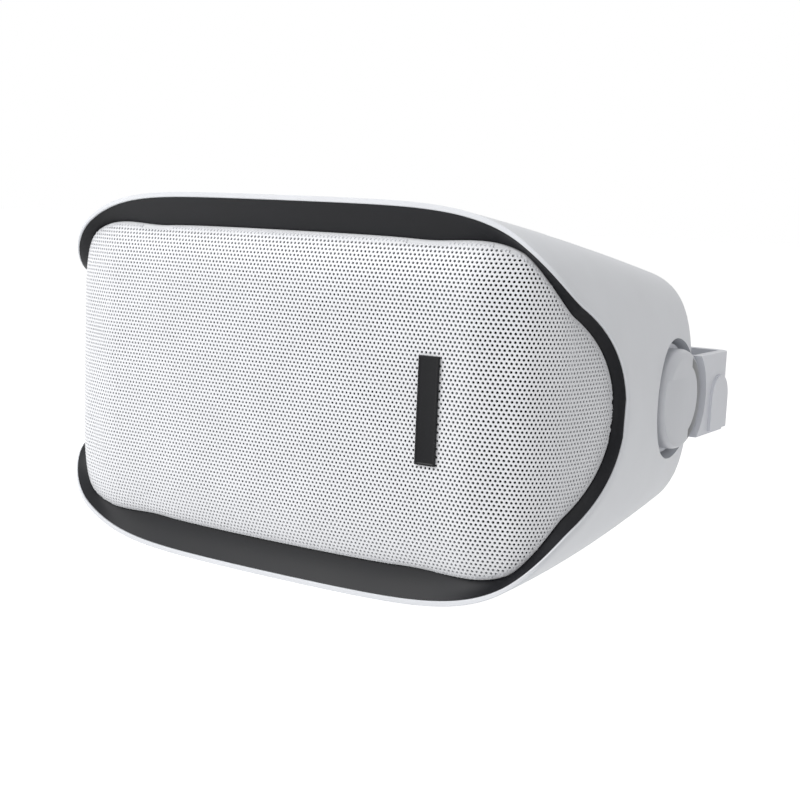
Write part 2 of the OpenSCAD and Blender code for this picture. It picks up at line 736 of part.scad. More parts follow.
collar_h = 3;
module post(x) color(brass) {
  difference() {
    union() {
      rodY(x, post_z, cup_floor - cup_t - 6, cup_floor + 1, stud_d / 2);
      rodY(x, post_z, cup_floor, cup_floor + collar_h, cap_d / 2);
      rodY(x, post_z, cup_floor + collar_h - 1, cup_floor + collar_h + cap_l, stud_d / 2);
      rodY(x, post_z, cup_floor - cup_t - 3, cup_floor - cup_t, stud_d / 2 + 2);
    }
    rodY(x, post_z, cup_floor + collar_h, cup_floor + collar_h + cap_l + 1, socket_d / 2);
  }
}
module post_red() post(post_gap / 2);
module post_black() post(-post_gap / 2);

module cap(x) {
  difference() {
    rodY(x, post_z, cup_floor + collar_h + 0.1, cup_floor + collar_h + cap_l, cap_d / 2);
    rodY(x, post_z, cup_floor + collar_h - 1, cup_floor + collar_h + cap_l + 1, stud_d / 2 + run_gap);
    for (a = [0:30:330]) {
      rodY(x + (cap_d / 2 + 0.4) * cos(a), post_z + (cap_d / 2 + 0.4) * sin(a), cup_floor + collar_h + 3,
        cup_floor + collar_h + cap_l + 1, 0.9);
    }
  }
}
module cap_red() color([0.7, 0.08, 0.07]) cap(post_gap / 2);
module cap_black() color(black) cap(-post_gap / 2);

// Pieces of the right pivot; the left ones are their mirror images
module washerSide() turnX([
  [bolt_d / 2 + 0.6, floor_x], [washer_d / 2, floor_x], [washer_d / 2, eye_x0], [bolt_d / 2 + 0.6, eye_x0]]);
module insertSide() turnX([
  [bolt_d / 2 + run_gap, floor_x - insert_l + 0.3], [bolt_d / 2 + 2.9, floor_x - insert_l + 0.3],
  [bolt_d / 2 + 2.9, floor_x], [bolt_d / 2 + run_gap, floor_x]]);
bolt_head_r = bolt_d / 2 + 4;
module boltSide() turnX([
  [0, floor_x - insert_l + 1], [bolt_d / 2 - 1, floor_x - insert_l + 1], [bolt_d / 2, floor_x - insert_l + 2],
  [bolt_d / 2, knob_x0 + 1], [bolt_head_r, knob_x0 + 1], [bolt_head_r, knob_x0 + 4], [0, knob_x0 + 4]]);

module friction_washer_right() color(black) washerSide();
module friction_washer_left() color(black) mirror([1, 0, 0]) washerSide();
module pivot_insert_right() color(brass) insertSide();
module pivot_insert_left() color(brass) mirror([1, 0, 0]) insertSide();
module pivot_bolt_right() color(steel) boltSide();
module pivot_bolt_left() color(steel) mirror([1, 0, 0]) boltSide();

// Click-stop ring on the eye: a crown of slanted teeth
tooth_a = 32;
tooth_h = 1.6;
module clickSide() {
  groove = ring_r1 - ring_r0;
  difference() {
    turnX([[ring_r0, eye_x1], [ring_r1, eye_x1], [ring_r1, eye_x1 + click_h], [ring_r0, eye_x1 + click_h]]);
    for (i = [0:click_n - 1]) {
      translate([eye_x1 + click_h, y_pivot, 0]) rotate([360 * i / click_n, 0, 0])
        translate([0, (ring_r0 + ring_r1) / 2, 0]) rotate([tooth_a, 0, 0])
          boxAt(-tooth_h, 1, -groove, groove, -0.75, 0.75);
    }
  }
}
module click_ring_right() color(beige) clickSide();
module click_ring_left() color(beige) mirror([1, 0, 0]) clickSide();

// Knob: domed disc, hollow over the click-stop ring, with a finger scoop and an arc window
module knobSide() {
  r = knob_d / 2;
  difference() {
    turnX([
      [0, knob_x0], [r, knob_x0], [r, knob_x1 - 4.4], [r - 0.7, knob_x1 - 3.1], [r - 2.4, knob_x1 - 1.9],
      [r - 5, knob_x1 - 1], [r - 9, knob_x1 - 0.3], [0, knob_x1]]);
    turnX([[ring_r0 - 0.4, knob_x0 - 1], [ring_r1 + 0.4, knob_x0 - 1],
      [ring_r1 + 0.4, eye_x1 + click_h + 0.3], [ring_r0 - 0.4, eye_x1 + click_h + 0.3]]);
    turnX([[0, knob_x0 - 1], [bolt_d / 2 + 0.1, knob_x0 - 1], [bolt_d / 2 + 0.1, knob_x0 + 0.9],
      [bolt_head_r + 0.1, knob_x0 + 0.9], [bolt_head_r + 0.1, knob_x0 + 4.1], [0, knob_x0 + 4.1]]);
    intersection() {
      turnX([[ring_r0, eye_x1], [ring_r1 - 0.4, eye_x1], [ring_r1 - 0.4, far / 2], [ring_r0, far / 2]]);
      translate([0, y_pivot, 0]) linear_extrude(height = 34, center = true)
        polygon([[floor_x, 4], [far, 4], [far, 60], [floor_x, 60]]);
    }
    intersection() {
      rodX(y_pivot, 0, eye_x1 + click_h + 1.6, far / 2, r - 1.6);
      translate([knob_x1 + 30, y_pivot - 22, -2]) sphere(r = 37, $fn = 96);
      boxAt(0, far, y_pivot - r, y_pivot + r, -r, r * 0.54);
    }
  }
}
module knob_right() color(grey) knobSide();
module knob_left() color(grey) mirror([1, 0, 0]) knobSide();

// Bracket: U strap, concave step round each knob, eye in the pocket, raised pad on each arm
step_r0 = knob_d / 2 + 1;
step_r1 = pocket_d / 2 - 1;
function arc(cx, cy, r, a0, a1) = [for (i = [0:8]) let (a = mix(a0, a1, i / 8)) [cx + r * cos(a), cy + r * sin(a)]];

module bracket() color(white) {
  inner_r = max(1, bend_r - arm_t);
  difference() {
    union() {
      difference() {
        linear_extrude(height = arm_h, center = true) polygon(concat(
          arc(arm_x1 - bend_r, -bend_r, bend_r, 0, 90), arc(-arm_x1 + bend_r, -bend_r, bend_r, 90, 180),
          [[-arm_x1, y_pivot], [-arm_x0, y_pivot]],
          arc(-arm_x0 + inner_r, -back_t - inner_r, inner_r, 180, 90),
          arc(arm_x0 - inner_r, -back_t - inner_r, inner_r, 90, 0),
          [[arm_x0, y_pivot], [arm_x1, y_pivot]]
        ));
        rodX(y_pivot, 0, -far, far, step_r0);
      }
      for (s = [-1, 1]) {
        scale([s, 1, 1]) armSide();
      }
      for (s = [-1, 1]) {
        boxAt(-arm_x0, arm_x0, -back_t - rib_h, -back_t + 0.5,
          s * (arm_h / 2 - 1.5) - 1.5, s * (arm_h / 2 - 1.5) + 1.5);
      }
    }
    for (sx = [-1, 1]) {
      for (sz = [-1, 1]) {
        rodY(sx * wall_hole_x / 2, sz * wall_hole_z / 2, -back_t - 1, 1, wall_hole_d / 2);
      }
    }
    rodX(y_pivot, 0, -far, far, bolt_d / 2 + 0.4);
  }
}

module armSide() {
  rodX(y_pivot, 0, eye_x0, eye_x1, eye_d / 2);
  intersection() {
    difference() {
      rodX(y_pivot, 0, eye_x0, arm_x1, step_r1);
      rodX(y_pivot, 0, eye_x1, arm_x1 + 1, step_r0);
    }
    boxAt(0, far, y_pivot + 8, 0, -arm_h / 2, arm_h / 2);
  }
  padSide();
}

pad_t = 1.4;
pad_r = 11.5;
module padSide() {
  pad_y = -bend_r - pad_r + 3;
  rodX(pad_y, -3, arm_x0, arm_x1 + pad_t, pad_r);
  boxAt(arm_x0, arm_x1 + pad_t, pad_y - pad_r, pad_y + pad_r, -arm_h / 2 + 1.5, -3);
}

// Wadding on the back wall beside the terminal cup
cup_side = -cup_w / 2 - cup_t - cup_rim - 4;
damp_z = 36;
module damping_pad() color([0.85, 0.84, 0.8])
  boxAt(cup_side - damp_w, cup_side, y_back - wall - damp_t, y_back - wall - fit_gap, -damp_z, damp_z);

bracket();
click_ring_right();
click_ring_left();
enclosure_shell();
baffle();
grille();
badge_plate();
baffle_screws();
woofer_basket();
woofer_gasket();
woofer_surround();
woofer_cone();
dust_cap();
voice_coil();
woofer_spider();
woofer_top_plate();
woofer_magnet();
woofer_yoke();
woofer_screws();
tweeter_faceplate();
tweeter_dome();
tweeter_motor();
tweeter_screws();
crossover_board();
crossover_coil();
capacitors();
resistor();
board_screws();
terminal_cup();
cup_screws();
post_red();
post_black();
cap_red();
cap_black();
friction_washer_right();
friction_washer_left();
pivot_insert_right();
pivot_insert_left();
pivot_bolt_right();
pivot_bolt_left();
knob_right();
knob_left();
damping_pad();
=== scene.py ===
# Two-way wall speaker on a tilting bracket, dressed around its CAD frame.
import json
from math import asin, cos, pi, radians, sin, tan

import bpy
import numpy as np
from mathutils import Matrix, Vector


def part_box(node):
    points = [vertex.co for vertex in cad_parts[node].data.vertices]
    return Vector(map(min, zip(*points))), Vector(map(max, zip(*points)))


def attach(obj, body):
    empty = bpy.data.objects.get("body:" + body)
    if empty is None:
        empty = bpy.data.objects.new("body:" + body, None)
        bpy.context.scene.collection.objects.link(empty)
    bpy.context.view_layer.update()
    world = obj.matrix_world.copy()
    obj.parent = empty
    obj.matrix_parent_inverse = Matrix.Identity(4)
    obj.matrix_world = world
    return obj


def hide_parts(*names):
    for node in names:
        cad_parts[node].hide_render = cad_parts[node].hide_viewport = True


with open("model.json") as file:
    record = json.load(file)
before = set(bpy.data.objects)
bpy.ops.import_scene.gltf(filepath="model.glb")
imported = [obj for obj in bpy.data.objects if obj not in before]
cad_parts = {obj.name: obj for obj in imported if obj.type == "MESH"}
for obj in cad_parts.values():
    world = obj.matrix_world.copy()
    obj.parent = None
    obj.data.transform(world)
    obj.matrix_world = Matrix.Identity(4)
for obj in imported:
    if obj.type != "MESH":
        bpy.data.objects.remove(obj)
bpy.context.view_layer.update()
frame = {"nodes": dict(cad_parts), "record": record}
mm = 0.001
scene = bpy.context.scene
scene.view_settings.view_transform = "Standard"

# Shape of the body and its front, in millimetres as the CAD has it
body = {
    "width": 305.0, "height": 174.0, "depth": 155.0, "backWidth": 285.0, "backHeight": 116.0,
    "wall": 2.6, "backRadius": 12.0, "frontY": -182.0, "columns": 288,
    "frontM": 5.6, "frontN": 1.55, "backM": 12.0, "backN": 2.8,
}
curve = {"crown": 1500.0, "cornerX": 118.3, "cornerR": 24.5, "endSlope": radians(75), "rimBack": 2.8}
trim = {
    "rimWidth": 2.4, "rimEdge": 0.35, "bezelDrop": 0.8, "lip": 1.4, "fit": 0.2,
    "bezelSide": 13.0, "bezelCorner": 4.0, "bezelEnd": 2.6, "narrowFrom": 70.0, "narrowOver": 58.0,
    "trough": 6.2, "ledge": 8.4, "ledgeWidth": 4.0, "plate": 12.0, "plateThick": 4.0,
}
pivot = {
    "y": -58.0, "floor": 131.9, "pocket": 28.3, "cupWall": 2.6, "cupEnd": 148.0, "floorThick": 4.0,
    "boss": 10.0, "bossLong": 16.0, "insert": 7.0, "insertLong": 14.0, "outside": 170.0,
}

crownAngle = asin(curve["cornerX"] / curve["crown"])
wrapX = curve["cornerX"] + curve["cornerR"] * (sin(curve["endSlope"]) - sin(crownAngle))
endCos = cos(curve["endSlope"])
rimY = body["frontY"] + curve["rimBack"]


def mix(a, b, k):
    return a + (b - a) * k


def halfWidth(d):
    return mix(body["width"], body["backWidth"], d / body["depth"]) / 2


def halfHeight(d):
    return mix(body["height"], body["backHeight"], d / body["depth"]) / 2


def squareness(d):
    k = np.clip(d / body["depth"], 0, 1)
    return mix(body["frontM"], body["backM"], k), mix(body["frontN"], body["backN"], k)


def frontAngle(x):
    x = np.abs(x)
    bent = np.clip((x - curve["cornerX"]) / curve["cornerR"] + sin(crownAngle), -1, sin(curve["endSlope"]))
    return np.where(x < curve["cornerX"], np.arcsin(np.minimum(x / curve["crown"], 0.9)), np.arcsin(bent))


def frontDepth(x):
    a = frontAngle(x)
    x = np.abs(x)
    flat = curve["crown"] * (1 - np.cos(a))
    bent = curve["crown"] * (1 - cos(crownAngle)) + curve["cornerR"] * (cos(crownAngle) - np.cos(a))
    return np.where(x < curve["cornerX"], flat, bent + np.maximum(0, x - wrapX) * tan(curve["endSlope"]))


def frontPoint(x, z, d):
    # A point d behind the front curve, square to it
    a = frontAngle(x)
    return np.stack([x - np.sign(x) * d * np.sin(a), rimY + frontDepth(x) + d * np.cos(a), z + 0 * x], -1)


tipX = 150.0
for _ in range(60):  # settles where the front curve meets the narrowing body
    tipX = halfWidth(curve["rimBack"] + float(frontDepth(tipX)))
tipX = float(tipX)
sheetB = halfHeight(0) - trim["rimWidth"] - trim["bezelSide"]
crest = -curve["rimBack"]


def rimLine(o, t):
    # A quarter of the inner edge of the white rim, drawn in by o more
    o = o + trim["rimWidth"]
    x = (tipX - o * endCos) * np.cos(t) ** (2 / body["frontM"])
    d = curve["rimBack"] + frontDepth(x)
    m, n = squareness(d)
    a = halfWidth(d) - o * endCos
    return x, (halfHeight(d) - o) * np.maximum(0, 1 - (x / a) ** m) ** (1 / n)


def crowded(u):
    # Angles from 0 to a right angle, crowded towards its end
    return np.minimum(pi / 2 * (1 - (1 - u) ** 3), pi / 2 - 1e-12)


def evenSteps(count):
    # Angles of one quarter that step evenly along the rim
    u = np.linspace(0, 1, 6001)
    x, z = rimLine(0, crowded(u))
    p = frontPoint(x, z, 0)
    run = np.concatenate([[0], np.cumsum(np.linalg.norm(np.diff(p, axis=0), axis=1))])
    return crowded(np.interp(np.linspace(0, run[-1], count + 1), run, u))


quarter = evenSteps(body["columns"] // 4)


def allRound(points):
    # Mirrors the quarter outline to the whole ring
    q = np.array(points)
    left, low, both = q * [-1, 1, 1], q * [1, 1, -1], q * [-1, 1, -1]
    return np.concatenate([q[:-1], left[::-1][:-1], both[:-1], low[::-1][:-1]])


def frontRing(line, d):
    return allRound(frontPoint(line[0], line[1], d))


def bezelWidth(x):
    s = np.clip((np.abs(x) - trim["narrowFrom"]) / trim["narrowOver"], 0, 1)
    return mix(trim["bezelSide"], trim["bezelCorner"], s * s * (3 - 2 * s))


def edgeHeight(x, i):
    # Half height of the sheet at x, drawn in by i
    x = np.abs(x)
    d = curve["rimBack"] + frontDepth(x)
    m, n = squareness(d)
    a = halfWidth(d) - (trim["rimWidth"] + trim["bezelEnd"] + i) * endCos
    b = halfHeight(d) - trim["rimWidth"] - bezelWidth(x) - i
    return b * np.maximum(0, 1 - (x / a) ** m) ** (1 / n)


def sheetLine(i):
    a = tipX - (trim["rimWidth"] + trim["bezelEnd"] + i) * endCos
    x = a * np.cos(quarter) ** (2 / body["frontM"])
    return x, edgeHeight(x, i)


def between(k, o=0.0):
    # From the edge of the grille (0) to the white rim (1)
    a, b = sheetLine(-trim["fit"]), rimLine(o, quarter)
    return mix(a[0], b[0], k), mix(a[1], b[1], k)


def pick(piece):
    bpy.ops.object.select_all(action="DESELECT")
    piece.select_set(True)
    bpy.context.view_layer.objects.active = piece


def tidyMesh(piece, merge=0.00001):
    pick(piece)
    bpy.ops.object.mode_set(mode="EDIT")
    bpy.ops.mesh.select_all(action="SELECT")
    bpy.ops.mesh.remove_doubles(threshold=merge)
    bpy.ops.mesh.normals_make_consistent(inside=False)
    bpy.ops.mesh.select_all(action="DESELECT")
    bpy.ops.object.mode_set(mode="OBJECT")


def loft(name, rings, closed=True):
    # A grid wrapped round, each row on one ring; closed joins the last ring to the first
    rows = list(rings) + ([rings[0]] if closed else [])
    count = len(rows[0])
    bpy.ops.object.select_all(action="DESELECT")
    bpy.ops.mesh.primitive_grid_add(x_subdivisions=count, y_subdivisions=len(rows) - 1, size=0.1)
    piece = bpy.context.active_object
    piece.name = name
    points = np.concatenate([np.concatenate([row, row[:1]]) for row in rows]) * mm
    assert len(piece.data.vertices) == len(points)
    piece.data.vertices.foreach_set("co", points.astype(np.float32).ravel())
    piece.data.update()
    tidyMesh(piece)
    return piece


def apply(piece, kind, **settings):
    pick(piece)
    modifier = piece.modifiers.new(kind.title(), kind)
    for key, value in settings.items():
        setattr(modifier, key, value)
    bpy.ops.object.modifier_apply(modifier=modifier.name)


def cut(piece, tool, how="DIFFERENCE"):
    apply(piece, "BOOLEAN", object=tool, operation=how, solver="EXACT")
    bpy.data.objects.remove(tool)


def rod(x0, x1, y, z, r, axis="X", sides=96):
    # Straight round tool along X or Y, in millimetres
    mid = (x0 + x1) / 2
    place = (mid, y, z) if axis == "X" else (y, mid, z)
    turn = (0, pi / 2, 0) if axis == "X" else (pi / 2, 0, 0)
    bpy.ops.object.select_all(action="DESELECT")
    bpy.ops.mesh.primitive_cylinder_add(
        vertices=sides, radius=r * mm, depth=abs(x1 - x0) * mm,
        location=[v * mm for v in place], rotation=turn)
    tool = bpy.context.active_object
    bpy.ops.object.transform_apply(location=True, rotation=True, scale=True)
    return tool


def block(low, high):
    bpy.ops.object.select_all(action="DESELECT")
    bpy.ops.mesh.primitive_cube_add(size=1, location=[(a + b) / 2 * mm for a, b in zip(low, high)])
    tool = bpy.context.active_object
    tool.scale = [(b - a) * mm for a, b in zip(low, high)]
    bpy.ops.object.transform_apply(location=True, rotation=True, scale=True)
    return tool


def turned(name, profile, steps=128):
    # Spins a profile of (radius, place along X) round the pivot axis
    bpy.ops.object.select_all(action="DESELECT")
    bpy.ops.mesh.primitive_circle_add(vertices=len(profile), radius=0.01)
    piece = bpy.context.active_object
    piece.name = name
    centre = [0, pivot["y"] * mm, 0]
    for vertex, (r, x) in zip(piece.data.vertices, profile):
        vertex.co = (x * mm, centre[1] + r * mm, 0)
    bpy.ops.object.mode_set(mode="EDIT")
    bpy.ops.mesh.select_all(action="SELECT")
    bpy.ops.mesh.spin(steps=steps, angle=2 * pi, center=centre, axis=(1, 0, 0))
    bpy.ops.object.mode_set(mode="OBJECT")
    tidyMesh(piece)
    return piece


def smooth(piece, angle):
    pick(piece)
    bpy.ops.object.shade_smooth_by_angle(angle=radians(angle), keep_sharp_edges=False)


def copyOf(piece):
    pick(piece)
    bpy.ops.object.duplicate()
    return bpy.context.active_object


def flipSide(piece):
    # Mirror image across the middle of the speaker
    pick(piece)
    piece.scale = (-1, 1, 1)
    bpy.ops.object.transform_apply(location=True, rotation=True, scale=True)
    tidyMesh(piece)


# Finishes
def linearColour(rgb):
    return [((c / 255 + 0.055) / 1.055) ** 2.4 if c > 10 else c / 255 / 12.92 for c in rgb] + [1]


# Colour, roughness, metal, amount and size of the mottle, height (mm) and size of the grain, kind
finishes = {
    "housing_white": ((226, 228, 232), 0.42, 0, 0.03, 30, 0.05, 1400, "moulded"),
    "bracket_white": ((221, 223, 229), 0.40, 0, 0.03, 30, 0.05, 1400, "moulded"),
    "grille_white": ((238, 239, 242), 0.38, 0, 0.02, 40, 0.01, 2500, "painted"),
    "bezel_black": ((17, 18, 22), 0.42, 0, 0.25, 25, 0.04, 1500, "moulded"),
    "badge_black": ((9, 10, 14), 0.35, 0, 0.20, 60, 0.01, 2000, "painted"),
    "click_beige": ((196, 190, 168), 0.50, 0, 0.06, 50, 0.04, 1200, "moulded"),
    "knob_grey": ((212, 214, 219), 0.36, 0, 0.03, 40, 0.04, 1500, "moulded"),
    "cup_black": ((24, 24, 26), 0.45, 0, 0.25, 25, 0.06, 1100, "moulded"),
    "basket_black": ((30, 30, 32), 0.48, 0.2, 0.25, 60, 0.05, 900, "painted"),
    "rubber_black": ((22, 22, 23), 0.62, 0, 0.25, 50, 0.03, 900, "moulded"),
    "cone_black": ((34, 33, 33), 0.75, 0, 0.30, 200, 0.10, 500, "fibre"),
    "dome_silk": ((36, 34, 34), 0.60, 0, 0.20, 100, 0.03, 2600, "weave"),
    "spider_cloth": ((176, 150, 96), 0.80, 0, 0.15, 80, 0.06, 1800, "weave"),
    "wadding": ((222, 219, 208), 0.95, 0, 0.12, 60, 0.8, 260, "fibre"),
    "screw_steel": ((178, 178, 182), 0.28, 1, 0.10, 90, 0.01, 2500, "brushed"),
    "motor_steel": ((160, 161, 166), 0.34, 1, 0.12, 60, 0.02, 1800, "brushed"),
    "magnet_ferrite": ((54, 54, 57), 0.70, 0, 0.20, 60, 0.05, 700, "moulded"),
    "coil_copper": ((196, 112, 62), 0.30, 1, 0.12, 60, 0.25, 900, "wound"),
    "post_brass": ((208, 170, 92), 0.26, 1, 0.10, 70, 0.01, 2200, "brushed"),
    "board_green": ((26, 78, 46), 0.40, 0, 0.25, 60, 0.05, 160, "board"),
    "capacitor_blue": ((34, 50, 108), 0.35, 0, 0.12, 80, 0.01, 900, "painted"),
    "resistor_white": ((228, 226, 218), 0.70, 0, 0.06, 120, 0.04, 900, "moulded"),
    "cap_red": ((176, 26, 24), 0.35, 0, 0.10, 80, 0.02, 1500, "moulded"),
    "cap_black": ((22, 22, 24), 0.35, 0, 0.20, 80, 0.02, 1500, "moulded"),
}


def link(tree, a, b):
    tree.links.new(a, b)


def finishMaterial(name):
    colour, rough, metal, amount, size, height, grain, kind = finishes[name]
    material = bpy.data.materials.new(name + "Finish")
    material.use_nodes = True
    tree = material.node_tree
    shader = tree.nodes["Principled BSDF"]
    new = tree.nodes.new
    where = new("ShaderNodeTexCoord").outputs["Object"]
    mapping = new("ShaderNodeMapping")
    link(tree, where, mapping.inputs["Vector"])
    if kind == "brushed":
        mapping.inputs["Scale"].default_value = (0.12, 1, 1)
    place = mapping.outputs["Vector"]
    cloud = new("ShaderNodeTexNoise")
    cloud.inputs["Scale"].default_value = size
    cloud.inputs["Detail"].default_value = 4
    link(tree, where, cloud.inputs["Vector"])
    ramp = new("ShaderNodeValToRGB")
    base = linearColour(colour)
    for element, k in zip(ramp.color_ramp.elements, (1 - amount, 1 + amount)):
        element.color = [min(1, c * k) for c in base[:3]] + [1]
    ramp.color_ramp.elements[0].position = 0.3
    ramp.color_ramp.elements[1].position = 0.7
    link(tree, cloud.outputs["Fac"], ramp.inputs["Fac"])
    link(tree, ramp.outputs["Color"], shader.inputs["Base Color"])
    if kind in ("wound", "weave"):
        fine = new("ShaderNodeTexWave")
        fine.wave_type = "BANDS"
        fine.bands_direction = "DIAGONAL" if kind == "weave" else "Y"
        fine.inputs["Scale"].default_value = grain / 2
        fine.inputs["Distortion"].default_value = 0.4
        fineOut = fine.outputs["Fac"]
    else:
        fine = new("ShaderNodeTexNoise")
        fine.inputs["Scale"].default_value = grain
        fine.inputs["Detail"].default_value = 3
        fine.inputs["Roughness"].default_value = 0.7 if kind == "fibre" else 0.5
        fineOut = fine.outputs["Fac"]
    link(tree, place, fine.inputs["Vector"])
    bump = new("ShaderNodeBump")
    bump.inputs["Strength"].default_value = 0.35
    bump.inputs["Distance"].default_value = height * mm
    link(tree, fineOut, bump.inputs["Height"])
    link(tree, bump.outputs["Normal"], shader.inputs["Normal"])
    spread = new("ShaderNodeMapRange")
    spread.inputs["To Min"].default_value = max(0.05, rough - 0.07)
    spread.inputs["To Max"].default_value = min(1, rough + 0.07)
    link(tree, cloud.outputs["Fac"], spread.inputs["Value"])
    link(tree, spread.outputs["Result"], shader.inputs["Roughness"])
    shader.inputs["Metallic"].default_value = metal
    shader.inputs["Specular IOR Level"].default_value = 0.22 if max(colour) < 40 else 0.4
    if kind == "weave":
        shader.inputs["Sheen Weight"].default_value = 0.2
    return material


materials = {name: finishMaterial(name) for name in finishes}
slotOf = {row["node"]: row["material_slot"] for row in frame["record"]["subparts"]}
for node, thing in frame["nodes"].items():
    if not thing.material_slots:
        thing.data.materials.append(None)
    for place in thing.material_slots:
        place.material = materials[slotOf[node]]
print("finishes on", len(frame["nodes"]), "CAD nodes")


def dress(piece, slot, rides, *nodes):
    piece.data.materials.clear()
    piece.data.materials.append(materials[slot])
    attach(piece, rides)
    if nodes:
        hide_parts(*nodes)
    return piece


# Housing: outer skin, inner skin and the even white rim between them
def edgeColumns():
    # Where each column leaves the front, as an angle on the body's own section
    x, z = rimLine(-trim["rimWidth"], quarter)
    d = curve["rimBack"] + frontDepth(x)
    m, n = squareness(d)
    t = np.arccos(np.clip((x / halfWidth(d)) ** (m / 2), 0, 1))
    return d, t


edgeDepth, edgeAngle = edgeColumns()


def bodyRing(d, o, extra=0.0):
    m, n = squareness(d)
    x = (halfWidth(d) - o - extra) * np.cos(edgeAngle) ** (2 / m)
    z = (halfHeight(d) - o - extra) * np.sin(edgeAngle) ** (2 / n)
    return allRound(np.stack([x, body["frontY"] + d + 0 * x, z], -1))


def skinRings(o, first, steps):
    r = body["backRadius"] - o
    start = body["depth"] - o - r
    rings = [bodyRing(mix(first, start, k), o) for k in np.linspace(0, 1, steps)]
    for a in np.linspace(0, pi / 2, 8)[1:]:
        rings.append(bodyRing(start + r * sin(a) + 0 * quarter, o, r * (1 - cos(a))))
    return rings + [rings[-1] * [k, 1, k] for k in (0.85, 0.6, 0.3, 0.0)]


terminals = {"low": (-35.2, -31, -6.2), "high": (35.2, -20, 38.2)}  # opening in the back wall


def pivotCup():
    p = pivot
    low, deep, outer = p["floor"] - p["floorThick"], p["floor"] - p["bossLong"], p["pocket"] + p["cupWall"]
    return turned("cup", [(0, p["cupEnd"]), (outer, p["cupEnd"]), (outer, low), (p["boss"], low),
                          (p["boss"], deep), (0, deep)])


def makeHousing():
    outer = skinRings(0.0, edgeDepth, 20)
    inner = skinRings(body["wall"], edgeDepth + 7, 14)
    seat = trim["bezelDrop"] + trim["lip"] + trim["fit"]
    face, soft = rimLine(0, quarter), trim["rimEdge"]
    rings = [frontRing(rimLine(-soft, quarter), 0.0), frontRing(rimLine(soft - trim["rimWidth"], quarter), 0.0)]
    rings += [mix(outer[0], outer[1], 0.06)] + outer[1:] + inner[::-1]
    rings += [frontRing(face, seat), frontRing(face, soft)]
    shell = loft("housing", rings)
    # Solid that fills the housing to the middle of its wall, to trim the pivot cups
    inside = loft("inside", skinRings(body["wall"] / 2, edgeDepth + 4, 12), closed=False)
    pick(inside)
    bpy.ops.object.mode_set(mode="EDIT")
    bpy.ops.mesh.select_all(action="SELECT")
    bpy.ops.mesh.region_to_loop()
    bpy.ops.mesh.edge_face_add()
    bpy.ops.object.mode_set(mode="OBJECT")
    tidyMesh(inside)
    for side in (-1, 1):
        cup = pivotCup()
        if side < 0:
            flipSide(cup)
        cut(cup, copyOf(inside), "INTERSECT")
        cut(shell, cup, "UNION")
    bpy.data.objects.remove(inside)
    for side in (-1, 1):
        ends = sorted((side * pivot["floor"], side * pivot["outside"]))
        cut(shell, rod(ends[0], ends[1], pivot["y"], 0, pivot["pocket"], sides=128))
        ends = sorted((side * (pivot["floor"] - pivot["insertLong"]), side * (pivot["floor"] + 1)))
        cut(shell, rod(ends[0], ends[1], pivot["y"], 0, pivot["insert"], sides=64))
    cut(shell, block(terminals["low"], terminals["high"]))
    smooth(shell, 32)
    return dress(shell, "housing_white", "enclosure", "enclosure_shell")


housing = makeHousing()
print("housing", len(housing.data.polygons), "faces")


# Bezel and baffle in one moulding: lip, slope, slot for the grille, ledge and the flat plate
driverHoles = {"woofer": (-44.0, 56.0, 128), "tweeter": (72.0, 29.5, 96)}  # place, radius and sides
flatPlate = float(frontPoint(np.array([curve["cornerX"]]), np.array([0.0]), trim["plate"])[0, 1])


def plateRing(k, d):
    x, z = [k * v for v in sheetLine(trim["ledgeWidth"])]
    p = frontPoint(x, z, trim["plate"] + d)
    p[:, 1] = np.maximum(p[:, 1], flatPlate + d)
    return allRound(p)


def makeBezel():
    lip, drop, trough = trim["fit"], trim["bezelDrop"], trim["trough"]
    edge = sheetLine(-trim["fit"])
    inner = sheetLine(trim["ledgeWidth"])
    shares = (1, 0.97, 0.93, 0.88, 0.82, 0.75, 0.5, 0.25, 0.0)
    # A slightly hollow slope from the rim down to the grille
    rings = []
    for k in (1.0, 0.8, 0.6, 0.4, 0.2):
        rings.append(frontRing(between(k, lip), mix(trough, drop, k) + 0.5 * sin(pi * k)))
    rings += [frontRing(edge, trough), frontRing(edge, trim["ledge"]), frontRing(inner, trim["ledge"])]
    rings += [plateRing(k, 0) for k in shares]
    rings += [plateRing(k, trim["plateThick"]) for k in shares[::-1]]
    rings += [frontRing(rimLine(lip + 0.25 * d, quarter), d) for d in (9.0, drop + trim["lip"])]
    piece = loft("bezel", rings)
    for x, radius, sides in driverHoles.values():
        cut(piece, rod(-170, -150, x, 0, radius, "Y", sides))
    smooth(piece, 40)
    return dress(piece, "bezel_black", "enclosure", "baffle")


bezel = makeBezel()
print("bezel", len(bezel.data.polygons), "faces")


# Grille: a hem with a rolled edge, perforated sheet in three stretches, dark cloth behind
grille = {
    "pitch": 2.0, "hole": 0.62, "sheet": 0.8, "margin": 1.2, "roll": 26.0,
    "lowFrom": 96.0, "lowOver": 40.0, "endCrest": 4.2, "clothBehind": 1.7, "clothThick": 0.4,
}


def domeDrop(i, x):
    # Depth of the sheet: rolled over at its edge, high along its middle, lower round the wrapped ends
    k = 1 - np.minimum(1, i / grille["roll"])
    s = np.clip((np.abs(x) - grille["lowFrom"]) / grille["lowOver"], 0, 1)
    high = mix(crest, grille["endCrest"], s * s * (3 - 2 * s))
    return high + (trim["trough"] - high) * (1 - np.sqrt(1 - k * k))


def sheetRing(i, t):
    line = sheetLine(i + t)
    return frontRing(line, domeDrop(i, line[0]) + t)


def inset(x, z):
    # How far inside the outline of the sheet a point lies
    low, high = np.full_like(x, -3.0), np.full_like(x, grille["roll"])
    for _ in range(30):
        i = (low + high) / 2
        outside = np.abs(z) >= edgeHeight(x, i)
        high = np.where(outside, i, high)
        low = np.where(outside, low, i)
    return low


